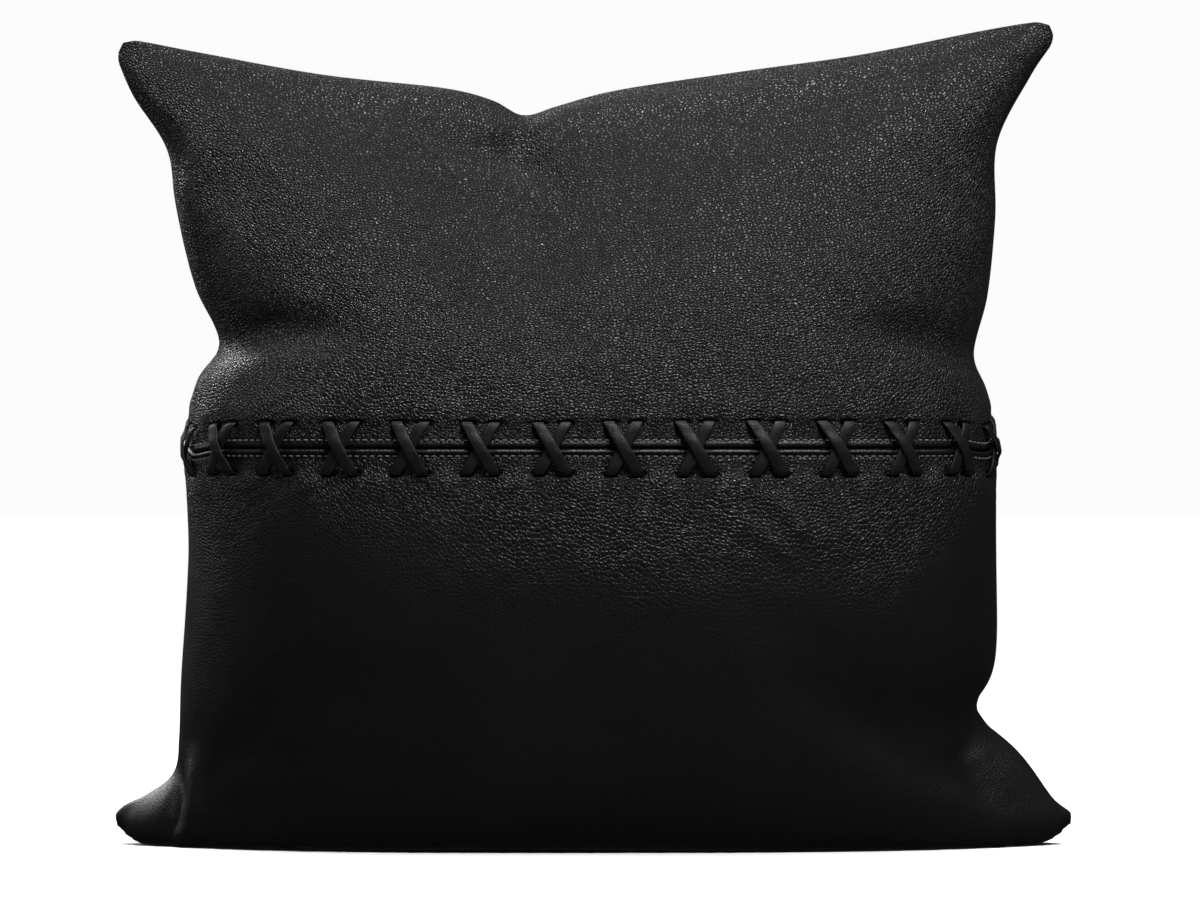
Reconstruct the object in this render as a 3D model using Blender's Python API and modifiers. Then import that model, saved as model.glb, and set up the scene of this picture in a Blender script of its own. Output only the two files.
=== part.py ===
"""Throw pillow: a laced leather cover over a feather cushion, closed by a zip in its base.

Metres, +Z up, standing on its base. X runs along the width, and the laced front faces -Y.
"""

import math

import bmesh
import bpy
import numpy as np
from mathutils import Matrix, Vector

# Outline of the cover, seen from the front
WAIST_WIDTH = 0.412
BOTTOM_EAR_WIDTH = 0.490
TOP_EAR_WIDTH = 0.478
LEFT_EAR_HEIGHT = 0.412
RIGHT_EAR_HEIGHT = 0.421
TOP_EDGE_HEIGHT = 0.389
NOTCH_DEPTH = 0.016
NOTCH_OFFSET = -0.037
NOTCH_WIDTH = 0.060
EAR_LIFT = 0.013
BASE_LENGTH = 0.392
EAR_POWER = 3.5
TOP_EDGE_POWER = 1.8

# Fullness of the cover
DEPTH = 0.184
FULLEST_LEVEL = -0.30
SIDE_POWER = 3.0
BOTTOM_POWER = 2.6
TOP_POWER = 2.0
ROUND_ROOT = 0.5
TAPER_ROOT = 0.62
BELLY_SAG = 0.045
BELLY_FADE = 0.60

# Leather and its seams
LEATHER = 0.0012
SEAM_ALLOWANCE_PLAY = 0.0004
SEAM_HALF = LEATHER + SEAM_ALLOWANCE_PLAY
GAP = 0.0003
MIDDLE_SEAM_HEIGHT = 0.2035

# Slot in the base for the zip
ZIP_LENGTH = 0.400
RECESS_HALF = 0.014
RECESS_DEPTH = 0.0060
RECESS_RUNOUT = 0.018
RECESS_FADE_POWER = 8

# Lacing
CROSSES = 14
CROSS_WIDTH = 0.0136
CROSS_HEIGHT = 0.0270
LACE_WIDTH = 0.0078
LACE_THICKNESS = 0.0015
LACE_CLEARANCE = 0.0005
SLIT_SIDE_PLAY = 0.0005
SLIT_END_PLAY = 0.0004
SLIT_CUT_DEPTH = 0.012
LACE_TAIL = 0.015
RAISED_SHARE = 0.61
RAMP_FOOT_SHARE = 0.85
FACET_ALLOWANCE = 0.0010

# Cushion
TICKING = 0.0005
CUSHION_CLEARANCE = 0.0016
CUSHION_INSET = LEATHER + CUSHION_CLEARANCE
CUSHION_SEAM_HALF = 0.0010
LACE_ROOM = 0.0025
CUSHION_EARS = (0.014, 0.60)  # room left at the corners, and share of the ears' spread
FILL_EARS = (0.018, 0.45)
BELT_HALF = CROSS_HEIGHT / 2 + LACE_TAIL + 0.018
BELT_FADE = 0.016
CUSHION_OVER_ZIP = 0.0030

# Zip
TOOTH_PITCH = 0.010
TOOTH_WIDTH = 0.0020
TOOTH_NECK = 0.0009
TEETH_APART = 0.0016
TEETH_THICK = 0.0022
TAPE_THICK = 0.0006
TAPE_WIDTH = 0.0115
TAPE_END = 0.006
TAPE_OVER_LEATHER = 0.0011
CHAIN_HEIGHT = RECESS_DEPTH + LEATHER + TAPE_OVER_LEATHER + TAPE_THICK / 2
STOP_INSET = 0.006
STOP_LENGTH = 0.0030
SLIDER_LENGTH = 0.0100
SLIDER_PLATE = 0.0012
SLIDER_PLAY = 0.0004
SLIDER_POST_PLAY = 0.0003
SLIDER_SIDE_PLAY = 0.0005
FLANGE_THICK = 0.0006
SLIDER_HALF = TEETH_APART / 2 + TOOTH_WIDTH + SLIDER_SIDE_PLAY + FLANGE_THICK
ZIP_SLOT_HALF = SLIDER_HALF + SLIDER_SIDE_PLAY
BAIL_WIDTH = 0.0012
BAIL_BAR = 0.0008
PULL_LENGTH = 0.018
PULL_WIDTH = 0.0056
PULL_THICK = 0.0010
PULL_ARM = 0.0010
PULL_SHOULDER = 0.0020
PULL_TIP_CUT = 0.0012
EYE_HALF_LENGTH = 0.0019

COLUMNS = 32
ROWS = 12
CUSHION_COLUMNS = 20
CROWDING = 1.38
BEYOND = 1.0
ARC_SAMPLES = 800

COLOURS = {
    "leather": ((0.012, 0.012, 0.013), 0.48, 0.0),
    "leather_lower": ((0.011, 0.011, 0.012), 0.50, 0.0),
    "leather_back": ((0.012, 0.012, 0.013), 0.52, 0.0),
    "lace": ((0.010, 0.010, 0.010), 0.55, 0.0),
    "ticking": ((0.78, 0.76, 0.71), 0.90, 0.0),
    "feathers": ((0.88, 0.86, 0.82), 0.95, 0.0),
    "tape": ((0.015, 0.015, 0.016), 0.85, 0.0),
    "nylon": ((0.020, 0.020, 0.020), 0.40, 0.0),
    "metal": ((0.060, 0.060, 0.062), 0.30, 1.0),
}


def smooth(low, high, value):
    share = min(max((value - low) / (high - low), 0.0), 1.0)
    return share * share * (3.0 - 2.0 * share)


def start_empty():
    for obj in list(bpy.data.objects):
        bpy.data.objects.remove(obj, do_unlink=True)
    parts = bpy.data.collections.new("throw_pillow")
    cutters = bpy.data.collections.new("cutters")
    bpy.context.scene.collection.children.link(parts)
    bpy.context.scene.collection.children.link(cutters)
    return parts, cutters


def material(name, kind):
    colour, roughness, metallic = COLOURS[kind]
    made = bpy.data.materials.new(name)
    made.use_nodes = True
    shader = made.node_tree.nodes["Principled BSDF"]
    shader.inputs["Base Color"].default_value = (*colour, 1.0)
    shader.inputs["Roughness"].default_value = roughness
    shader.inputs["Metallic"].default_value = metallic
    return made


def add_object(name, mesh, collection, kind=None):
    obj = bpy.data.objects.new(name, mesh)
    collection.objects.link(obj)
    if kind:
        mesh.materials.clear()
        mesh.materials.append(material(name, kind))
    return obj


def add_cutter(name, mesh):
    obj = add_object(name, mesh, CUTTERS)
    obj.hide_render = True
    obj.display_type = "WIRE"
    return obj


def boolean(obj, cutter, operation):
    step = obj.modifiers.new(cutter.name, "BOOLEAN")
    step.operation = operation
    step.solver = "EXACT"
    step.object = cutter


# Outline and surface of the pillow. s runs from -1 at the left edge to 1 at the right one,
# and t from -1 at the bottom edge to 1 at the top one.


def half_width(t, ear_fill=1.0):
    ear = TOP_EAR_WIDTH if t > 0 else BOTTOM_EAR_WIDTH
    return (WAIST_WIDTH + ear_fill * (ear - WAIST_WIDTH) * abs(t) ** EAR_POWER) / 2


def top_edge(s):
    ear = LEFT_EAR_HEIGHT if s < 0 else RIGHT_EAR_HEIGHT
    from_notch = (s * TOP_EAR_WIDTH / 2 - NOTCH_OFFSET) / NOTCH_WIDTH
    edge = TOP_EDGE_HEIGHT + (ear - TOP_EDGE_HEIGHT) * abs(s) ** TOP_EDGE_POWER
    return edge - NOTCH_DEPTH * math.exp(-from_notch * from_notch)


def bottom_edge(s):
    past_base = max(0.0, abs(s) * BOTTOM_EAR_WIDTH - BASE_LENGTH)
    return EAR_LIFT * (past_base / (BOTTOM_EAR_WIDTH - BASE_LENGTH)) ** 2


def recess(x):
    """1 along the zip's recess, and 0 towards the ears."""
    end = ZIP_LENGTH / 2 + TAPE_END
    return 1.0 - smooth(end, end + RECESS_RUNOUT, abs(x))


def fullness(s, t):
    across = max(0.0, 1.0 - abs(s) ** SIDE_POWER) ** ROUND_ROOT
    if t < FULLEST_LEVEL:
        down = (FULLEST_LEVEL - t) / (1.0 + FULLEST_LEVEL)
        return across * max(0.0, 1.0 - down**BOTTOM_POWER) ** ROUND_ROOT
    up = (t - FULLEST_LEVEL) / (1.0 - FULLEST_LEVEL)
    return across * max(0.0, 1.0 - up**TOP_POWER) ** TAPER_ROOT


class Skin:
    """The pillow's surface, drawn in from the leather's outer face."""

    def __init__(self, inset=0.0, seam_half=SEAM_HALF, belt_inset=0.0, zip_room=0.0, ears=(0.0, 1.0)):
        self.inset = inset
        self.ear_room, self.ear_fill = ears
        self.seam_half = seam_half
        self.belt_inset = belt_inset
        self.zip_room = zip_room

    def edges(self, s):
        """Heights of the bottom and top edges."""
        low = bottom_edge(s) + self.inset + self.ear_room * abs(s) ** EAR_POWER
        return low, top_edge(s) - self.inset - self.ear_room

    def level(self, s, z):
        low, high = self.edges(s)
        return 2.0 * (z - low) / (high - low) - 1.0

    def drawn_in(self, z):
        from_belt = abs(z - MIDDLE_SEAM_HEIGHT)
        share = 1.0 - smooth(BELT_HALF, BELT_HALF + BELT_FADE, from_belt)
        return self.inset + (self.belt_inset - self.inset) * share

    def point(self, s, t, side, rim=1.0):
        """side is -1 on the front and 1 on the back; rim is under 1 between the two seam edges."""
        low, high = self.edges(s)
        share = (t + 1.0) / 2.0
        z = low + (high - low) * share
        pulled = self.drawn_in(z)
        x = s * (half_width(t, self.ear_fill) - pulled)
        over_zip = recess(x)
        z += self.zip_room * over_zip * (1.0 - share)
        full = fullness(s, t)
        edge = self.seam_half
        if not self.inset:
            edge += (RECESS_HALF - SEAM_HALF) * over_zip * max(0.0, -t) ** RECESS_FADE_POWER
        if rim < 1.0:
            lift = RECESS_DEPTH * over_zip if t < -0.999 and not self.inset else 0.0
            return Vector((x, side * edge * rim, z + lift))
        fade = 1.0 - smooth(-1.0, -1.0 + BELLY_FADE, t)
        z -= (BELLY_SAG + self.zip_room) * full * fade
        y = edge + (DEPTH / 2 - SEAM_HALF - pulled) * full
        return Vector((x, side * y, max(z, self.inset)))

    def normal(self, s, t):
        """Outward normal on the front."""
        step = 1e-4
        along = self.point(s + step, t, -1) - self.point(s - step, t, -1)
        up = self.point(s, t + step, -1) - self.point(s, t - step, -1)
        return along.cross(up).normalized()


def pillow_block(name, skin, columns, rows):
    """A cube, cut into a grid on its front and back, and laid on the skin."""
    bm = bmesh.new()
    bmesh.ops.create_cube(bm, size=2.0)
    for axis, cuts in ((0, columns - 1), (2, rows - 1), (1, 2)):
        edges = [e for e in bm.edges if abs(e.verts[0].co[axis] - e.verts[1].co[axis]) > 1e-6]
        bmesh.ops.subdivide_edges(bm, edges=edges, cuts=cuts, use_grid_fill=True)
    for vert in bm.verts:
        u, side, v = vert.co
        s = math.sin(u * CROWDING) / math.sin(CROWDING)
        t = math.sin(v * CROWDING) / math.sin(CROWDING)
        rim = 1.0 if abs(side) > 0.999 else 1.0 / 3.0
        vert.co = skin.point(s, t, -1 if side < 0 else 1, rim)
    bmesh.ops.recalc_face_normals(bm, faces=bm.faces)
    mesh = bpy.data.meshes.new(name)
    bm.to_mesh(mesh)
    bm.free()
    mesh.shade_smooth()
    return mesh


def box_mesh(name, low, high):
    """A box between two corners."""
    bm = bmesh.new()
    bmesh.ops.create_cube(bm, size=1.0)
    low = Vector(low)
    high = Vector(high)
    for vert in bm.verts:
        vert.co = Vector(low[k] + (vert.co[k] + 0.5) * (high[k] - low[k]) for k in range(3))
    mesh = bpy.data.meshes.new(name)
    bm.to_mesh(mesh)
    bm.free()
    return mesh


def keep_box(name, low, high):
    """A box that a Boolean keeps or cuts away."""
    return add_cutter(name, box_mesh(name, low, high))


# Lacing along the middle seam


class Belt:
    """Places on the front, given by the length along the middle seam and the height."""

    def __init__(self, skin):
        self.skin = skin
        self.s = np.sin(np.linspace(-math.pi / 2, math.pi / 2, ARC_SAMPLES))
        points = np.array([skin.point(s, skin.level(s, MIDDLE_SEAM_HEIGHT), -1) for s in self.s])
        steps = np.linalg.norm(np.diff(points, axis=0), axis=1)
        self.arc = np.concatenate([[0.0], np.cumsum(steps)])
        self.length = self.arc[-1]
        self.pitch = self.length / CROSSES

    def centre(self, k):
        return (k + 0.5) * self.pitch

    def place(self, arc, z, out):
        """The point that lies out metres outside the leather's outer face."""
        s = float(np.interp(arc, self.arc, self.s))
        t = self.skin.level(s, z)
        return self.skin.point(s, t, -1) + self.skin.normal(s, t) * out

    def frame(self, arc, z):
        """Tangent, outward normal and up at a place, with the place itself."""
        here = self.place(arc, z, 0.0)
        along = (self.place(arc + 0.001, z, 0.0) - here).normalized()
        out = (self.place(arc, z, 0.001) - here).normalized()
        up = out.cross(along).normalized()
        if up.z < 0:
            up = -up
        turn = Matrix((along, out, up)).transposed()
        return here, turn


def slit_cutter(name, belt, upper):
    """One box for every slit of a panel."""
    wide = LACE_WIDTH + 2 * SLIT_SIDE_PLAY
    tall = LACE_THICKNESS + 2 * SLIT_END_PLAY
    size = (wide, SLIT_CUT_DEPTH, tall, 1.0)
    z = MIDDLE_SEAM_HEIGHT + (CROSS_HEIGHT / 2 if upper else -CROSS_HEIGHT / 2)
    bm = bmesh.new()
    for k in range(CROSSES):
        for side in (-1, 1):
            here, turn = belt.frame(belt.centre(k) + side * CROSS_WIDTH / 2, z)
            at = Matrix.Translation(here) @ turn.to_4x4()
            bmesh.ops.create_cube(bm, size=1.0, matrix=at @ Matrix.Diagonal(size))
    bmesh.ops.recalc_face_normals(bm, faces=bm.faces)
    mesh = bpy.data.meshes.new(name)
    bm.to_mesh(mesh)
    bm.free()
    return add_cutter(name, mesh)


def lace_route(belt, over):
    """Centre line of one lace as (length along the seam, height, distance out)."""
    outside = LACE_CLEARANCE + LACE_THICKNESS / 2
    hump = LACE_THICKNESS + LACE_CLEARANCE
    inside = -(LEATHER + FACET_ALLOWANCE + LACE_CLEARANCE + LACE_THICKNESS / 2)
    if over:
        inside -= LACE_THICKNESS + LACE_CLEARANCE
    half = CROSS_HEIGHT / 2
    lean = -CROSS_WIDTH / CROSS_HEIGHT if over else CROSS_WIDTH / CROSS_HEIGHT
    first = 1 if over else -1
    ramp_top = RAISED_SHARE * half
    ramp_foot = RAMP_FOOT_SHARE * half
    levels = (ramp_foot, ramp_top, 0.0, -ramp_top, -ramp_foot) if over else (0.0,)
    route = []
    for k in range(CROSSES):
        centre = belt.centre(k)

        def at(level, out):
            return (centre + lean * level, MIDDLE_SEAM_HEIGHT + level, out)

        if k == 0:
            start = first * (half + LACE_TAIL)
            arc = centre + lean * first * half
            route.append((arc, MIDDLE_SEAM_HEIGHT + start, inside))
        route.append(at(first * half, inside))
        route.append(at(first * half, outside))
        for level in levels:
            raised = hump if over and abs(level) <= ramp_top else 0.0
            route.append(at(first * level, outside + raised))
        route.append(at(-first * half, outside))
        route.append(at(-first * half, inside))
        if k < CROSSES - 1:
            following = belt.centre(k + 1) + lean * first * half
            middle = (centre - lean * first * half + following) / 2
            route.append((middle, MIDDLE_SEAM_HEIGHT, inside))
        else:
            end = -first * (half + LACE_TAIL)
            arc = centre - lean * first * half
            route.append((arc, MIDDLE_SEAM_HEIGHT + end, inside))
    return route


def lace_mesh(name, belt, over):
    """A flat strap lofted along its route, mitred where it dives through a slit."""
    route = lace_route(belt, over)
    half = LACE_THICKNESS / 2
    rings = []
    for i, (arc, z, out) in enumerate(route):
        here = Vector((z, out))
        before = (here - Vector(route[i - 1][1:])).normalized() if i > 0 else None
        after = (Vector(route[i + 1][1:]) - here).normalized() if i < len(route) - 1 else None
        before = before or after
        after = after or before
        side = Vector((-(before.y + after.y), before.x + after.x)).normalized()
        square = Vector((-after.y, after.x))
        mitre = side * (half / max(side.dot(square), 0.5))
        ring = []
        for across, offset in ((-1, mitre), (1, mitre), (1, -mitre), (-1, -mitre)):
            z_at, out_at = here + offset
            ring.append(belt.place(arc + across * LACE_WIDTH / 2, z_at, out_at))
        rings.append(ring)
    bm = bmesh.new()
    loops = [[bm.verts.new(p) for p in ring] for ring in rings]
    for low, high in zip(loops, loops[1:], strict=False):
        for k in range(4):
            bm.faces.new((low[k], low[(k + 1) % 4], high[(k + 1) % 4], high[k]))
    bm.faces.new(loops[0])
    bm.faces.new(reversed(loops[-1]))
    bmesh.ops.recalc_face_normals(bm, faces=bm.faces)
    mesh = bpy.data.meshes.new(name)
    bm.to_mesh(mesh)
    bm.free()
    return mesh


def add_shell(name, block, thickness, kind, keep, cuts):
    """Part of a closed skin: the skin thickened inwards, then kept inside a box."""
    obj = add_object(name, block.copy(), PARTS, kind)
    shell = obj.modifiers.new("thickness", "SOLIDIFY")
    shell.thickness = thickness
    shell.offset = -1.0
    for cut in cuts:
        boolean(obj, cut, "DIFFERENCE")
    boolean(obj, keep, "INTERSECT")
    return obj


def build_cover(belt):
    above = MIDDLE_SEAM_HEIGHT + GAP / 2
    below = MIDDLE_SEAM_HEIGHT - GAP / 2
    block = pillow_block("cover_skin", COVER, COLUMNS, ROWS)
    slot = keep_box(
        "zip_slot",
        (-ZIP_LENGTH / 2, -ZIP_SLOT_HALF, -0.01),
        (ZIP_LENGTH / 2, ZIP_SLOT_HALF, RECESS_DEPTH + 4 * LEATHER),
    )
    upper = keep_box("front_upper_space", (-BEYOND, -BEYOND, above), (BEYOND, -GAP / 2, BEYOND))
    lower = keep_box("front_lower_space", (-BEYOND, -BEYOND, -BEYOND), (BEYOND, -GAP / 2, below))
    back = keep_box("back_space", (-BEYOND, GAP / 2, -BEYOND), (BEYOND, BEYOND, BEYOND))
    upper_slits = slit_cutter("upper_slits", belt, True)
    lower_slits = slit_cutter("lower_slits", belt, False)
    add_shell("front_upper_panel", block, LEATHER, "leather", upper, [upper_slits])
    add_shell("front_lower_panel", block, LEATHER, "leather_lower", lower, [lower_slits, slot])
    add_shell("back_panel", block, LEATHER, "leather_back", back, [slot])


def build_laces(belt):
    add_object("lace_under", lace_mesh("lace_under", belt, False), PARTS, "lace")
    add_object("lace_over", lace_mesh("lace_over", belt, True), PARTS, "lace")


def build_cushion():
    laces = 2 * (LACE_THICKNESS + LACE_CLEARANCE)
    belt_inset = LEATHER + FACET_ALLOWANCE + laces + LACE_ROOM
    zip_top = CHAIN_HEIGHT + TEETH_THICK / 2 + SLIDER_PLAY + SLIDER_PLATE
    room = zip_top + CUSHION_OVER_ZIP - CUSHION_INSET
    outer = Skin(CUSHION_INSET, CUSHION_SEAM_HALF, belt_inset, room, CUSHION_EARS)
    block = pillow_block("ticking_skin", outer, CUSHION_COLUMNS, ROWS)
    front = keep_box("ticking_front_space", (-BEYOND, -BEYOND, -BEYOND), (BEYOND, -GAP / 2, BEYOND))
    back = keep_box("ticking_back_space", (-BEYOND, GAP / 2, -BEYOND), (BEYOND, BEYOND, BEYOND))
    add_shell("insert_front_ticking", block, TICKING, "ticking", front, [])
    add_shell("insert_back_ticking", block, TICKING, "ticking", back, [])
    lining = TICKING + 2 * GAP
    half = CUSHION_SEAM_HALF / 2
    inner = Skin(CUSHION_INSET + lining, half, belt_inset + lining, room, FILL_EARS)
    fill = pillow_block("feather_fill", inner, CUSHION_COLUMNS, ROWS)
    add_object("feather_fill", fill, PARTS, "feathers")


# Zip in the base


def outline_object(name, points, depth, kind):
    """A flat outline, extruded to a depth on both sides of its plane together, as a mesh."""
    curve = bpy.data.curves.new(name, "CURVE")
    curve.dimensions = "2D"
    curve.fill_mode = "BOTH"
    curve.extrude = depth / 2
    spline = curve.splines.new("POLY")
    spline.points.add(len(points) - 1)
    for place, (x, y) in zip(spline.points, points, strict=True):
        place.co = (x, y, 0.0, 1.0)
    spline.use_cyclic_u = True
    drawn = add_object(name + "_outline", curve, PARTS)
    bpy.context.view_layer.update()
    evaluated = drawn.evaluated_get(bpy.context.evaluated_depsgraph_get())
    mesh = bpy.data.meshes.new_from_object(evaluated)
    bpy.data.objects.remove(drawn)
    bm = bmesh.new()
    bm.from_mesh(mesh)
    bmesh.ops.remove_doubles(bm, verts=bm.verts, dist=1e-6)
    bmesh.ops.recalc_face_normals(bm, faces=bm.faces)
    bm.to_mesh(mesh)
    bm.free()
    return add_object(name, mesh, PARTS, kind)


def stop_face():
    """How far from the middle the chain meets its stops."""
    return ZIP_LENGTH / 2 - STOP_INSET - STOP_LENGTH


def comb_outline(side):
    """Outline of one row of teeth seen from below: a cord with teeth towards the middle."""
    near = TEETH_APART / 2
    far = near + TOOTH_WIDTH
    neck = far - TOOTH_NECK
    half = stop_face() - GAP
    count = round(2 * half / TOOTH_PITCH)
    pitch = 2 * half / count
    points = [(-half, far), (-half, neck)]
    for k in range(count):
        left = (k + 0.25) * pitch - half
        right = (k + 0.75) * pitch - half
        points += [(left, neck), (left, near), (right, near), (right, neck)]
    points += [(half, neck), (half, far)]
    return [(x, side * y) for x, y in points]


def build_zip_rows():
    far = TEETH_APART / 2 + TOOTH_WIDTH
    half = ZIP_LENGTH / 2 + TAPE_END
    for side, label in ((-1, "front"), (1, "back")):
        teeth = outline_object("zip_teeth_" + label, comb_outline(side), TEETH_THICK, "nylon")
        teeth.location.z = CHAIN_HEIGHT
        inner = side * (far + GAP)
        outer = side * (far + GAP + TAPE_WIDTH)
        low = (-half, min(inner, outer), CHAIN_HEIGHT - TAPE_THICK / 2)
        high = (half, max(inner, outer), CHAIN_HEIGHT + TAPE_THICK / 2)
        add_object("zip_tape_" + label, box_mesh("zip_tape_" + label, low, high), PARTS, "tape")


def build_zip_stops():
    end = ZIP_LENGTH / 2 - STOP_INSET
    near = TEETH_APART / 2
    far = near + TOOTH_WIDTH
    tall = TEETH_THICK / 2
    low, high = CHAIN_HEIGHT - tall, CHAIN_HEIGHT + tall
    for side, label in ((-1, "front"), (1, "back")):
        name = "zip_closed_stop_" + label
        ys = sorted((side * near, side * far))
        corner = (stop_face(), ys[0], low)
        add_object(name, box_mesh(name, corner, (end, ys[1], high)), PARTS, "metal")
    name = "zip_open_stop"
    corner = (-end, -far, low)
    add_object(name, box_mesh(name, corner, (-stop_face(), far, high)), PARTS, "metal")


def slider_place():
    """Middle of the slider with the zip closed."""
    return stop_face() - GAP - SLIDER_LENGTH / 2


def build_slider():
    """An H section round the chain, with a bail below it that carries the pull."""
    inside = TEETH_THICK / 2 + SLIDER_PLAY
    outside = inside + SLIDER_PLATE
    lip = TAPE_THICK / 2 + SLIDER_PLAY
    wing = SLIDER_HALF - FLANGE_THICK
    post = TEETH_APART / 2 - SLIDER_POST_PLAY
    quarter = [(post, 0.0), (post, inside), (wing, inside), (wing, lip), (SLIDER_HALF, lip)]
    quarter += [(SLIDER_HALF, outside)]
    right = [(y, -z) for y, z in quarter[:0:-1]] + quarter[1:]
    left = [(-y, -z) for y, z in right]
    slider = outline_object("zip_slider", right + left, SLIDER_LENGTH, "metal")
    turn = Matrix.Rotation(math.pi / 2, 4, "Z") @ Matrix.Rotation(math.pi / 2, 4, "X")
    slider.data.transform(turn)
    slider.location = (slider_place(), 0.0, CHAIN_HEIGHT)
    bail = box_mesh(
        "bail",
        (-SLIDER_LENGTH / 2, -BAIL_WIDTH / 2, pull_axis_height() - PULL_THICK / 2 - GAP - BAIL_BAR),
        (SLIDER_LENGTH / 2, BAIL_WIDTH / 2, CHAIN_HEIGHT - outside + SLIDER_PLATE / 2),
    )
    bail.transform(Matrix.Translation((slider_place(), 0.0, 0.0)))
    boolean(slider, add_cutter("bail", bail), "UNION")
    room = PULL_THICK / 2 + GAP
    eye = keep_box(
        "bail_eye",
        (slider_place() - EYE_HALF_LENGTH, -BAIL_WIDTH, pull_axis_height() - room),
        (slider_place() + EYE_HALF_LENGTH, BAIL_WIDTH, pull_axis_height() + room),
    )
    boolean(slider, eye, "DIFFERENCE")


def pull_axis_height():
    inside = TEETH_THICK / 2 + SLIDER_PLAY
    return CHAIN_HEIGHT - inside - SLIDER_PLATE - GAP - PULL_THICK / 2


def build_pull():
    """A tab on two arms, whose cross pin lies in the bail. Its origin is on the pin's axis."""
    arm_in = BAIL_WIDTH / 2 + 2 * GAP
    arm_out = arm_in + PULL_ARM
    pin = PULL_THICK / 2
    reach = SLIDER_LENGTH / 2 + 2 * GAP
    wide = PULL_WIDTH / 2
    side = [(pin, arm_out), (-reach, arm_out), (-reach - PULL_SHOULDER, wide)]
    side += [(-PULL_LENGTH + PULL_TIP_CUT, wide), (-PULL_LENGTH, wide - PULL_TIP_CUT)]
    frame = side + [(x, -y) for x, y in reversed(side)]
    pull = outline_object("zip_pull", frame, PULL_THICK, "metal")
    pull.location = (slider_place(), 0.0, pull_axis_height())
    low = (slider_place() - reach, -arm_in, 0.0)
    high = (slider_place() - pin, arm_in, CHAIN_HEIGHT)
    boolean(pull, keep_box("pull_window", low, high), "DIFFERENCE")


PARTS, CUTTERS = start_empty()
COVER = Skin()
BELT = Belt(COVER)
build_cover(BELT)
build_laces(BELT)
build_cushion()
build_zip_rows()
build_zip_stops()
build_slider()
build_pull()
bpy.context.view_layer.update()
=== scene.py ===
"""Looks of the laced leather throw pillow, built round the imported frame."""

import math

import bpy
import numpy as np
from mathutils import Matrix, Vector


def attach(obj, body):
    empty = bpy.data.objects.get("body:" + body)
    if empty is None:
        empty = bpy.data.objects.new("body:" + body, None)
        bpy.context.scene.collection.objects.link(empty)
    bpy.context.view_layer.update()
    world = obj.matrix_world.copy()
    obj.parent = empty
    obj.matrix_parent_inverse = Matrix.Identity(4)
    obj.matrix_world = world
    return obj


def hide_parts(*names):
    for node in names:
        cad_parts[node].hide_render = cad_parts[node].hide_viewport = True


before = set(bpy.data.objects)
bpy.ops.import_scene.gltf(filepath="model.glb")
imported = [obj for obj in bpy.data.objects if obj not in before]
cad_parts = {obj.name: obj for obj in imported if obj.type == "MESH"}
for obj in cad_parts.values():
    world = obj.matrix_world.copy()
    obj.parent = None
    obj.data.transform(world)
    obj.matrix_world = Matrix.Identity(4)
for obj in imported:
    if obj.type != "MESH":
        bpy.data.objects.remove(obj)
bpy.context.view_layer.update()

# Leather cover, cut flat
CUT = 0.508
HALF = CUT / 2
LEATHER = 0.0012
SEAM_PLAY = 0.0004
SEAM_Z = 0.2020

# Cloth simulation: the pressure, density and volume are set so that the cover fills to its depth
SIM_CELLS = 84
SIM_FRAMES = 30
START_DEPTH = 0.088
BASE_SAG = 0.045
CLOTH_MASS = 0.0003
CLOTH_STIFFNESS = 25
CLOTH_DAMPING = 10
FILL_PRESSURE = 2
FILL_FACTOR = 3
FILL_DENSITY = 3
FILL_VOLUME = 0.020

# Seam of the stuffed cover as (x, z), from corner to corner
LEFT_SEAM = [
    (-0.2435, 0.0095), (-0.2446, 0.0145), (-0.2395, 0.0200), (-0.2290, 0.0250), (-0.2150, 0.0360),
    (-0.2120, 0.0550), (-0.2110, 0.0850), (-0.2070, 0.1500), (-0.2090, 0.2000), (-0.2035, 0.2350),
    (-0.1915, 0.2560), (-0.2040, 0.2850), (-0.2130, 0.3250), (-0.2185, 0.3550), (-0.2350, 0.3810),
    (-0.2425, 0.3980), (-0.2432, 0.4035), (-0.2405, 0.4090),
]
RIGHT_SEAM = [
    (0.2435, 0.0105), (0.2443, 0.0150), (0.2335, 0.0240), (0.2161, 0.0440), (0.1985, 0.0640),
    (0.1950, 0.0750), (0.2050, 0.0950), (0.2050, 0.1500), (0.2050, 0.1980), (0.2010, 0.2300),
    (0.1940, 0.2500), (0.2010, 0.2800), (0.2050, 0.3200), (0.2060, 0.3580), (0.2230, 0.3920),
    (0.2335, 0.4080), (0.2345, 0.4135), (0.2325, 0.4180),
]
TOP_SEAM = [
    (-0.2405, 0.4090), (-0.2330, 0.4100), (-0.2010, 0.4040), (-0.1400, 0.3930), (-0.0790, 0.3858),
    (-0.0520, 0.3790), (-0.0360, 0.3712), (-0.0180, 0.3765), (0.0130, 0.3850), (0.0750, 0.3944),
    (0.1360, 0.4030), (0.1970, 0.4150), (0.2250, 0.4195), (0.2325, 0.4180),
]
BOTTOM_SEAM = [
    (-0.2435, 0.0095), (-0.2370, 0.0045), (-0.2190, 0.0040), (-0.1500, 0.0060), (0.0000, 0.0060),
    (0.1500, 0.0060), (0.2150, 0.0045), (0.2400, 0.0070), (0.2435, 0.0105),
]
NOTCH_X = -0.048
NOTCH_WIDTH = 0.042
NOTCH_FORWARD = 0.013

# Turned edges
TUCK = 0.004
EDGE_ROUND = 0.002

# Slot and recess for the zip in the base. The slot closes over the run-out at each end.
ZIP_HALF = 0.2025
ZIP_RUNOUT = 0.009
ZIP_SLOT_HALF = 0.0044
RECESS_DEPTH = 0.0060
RECESS_IN = 0.0135
RECESS_OUT = 0.0200

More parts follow.
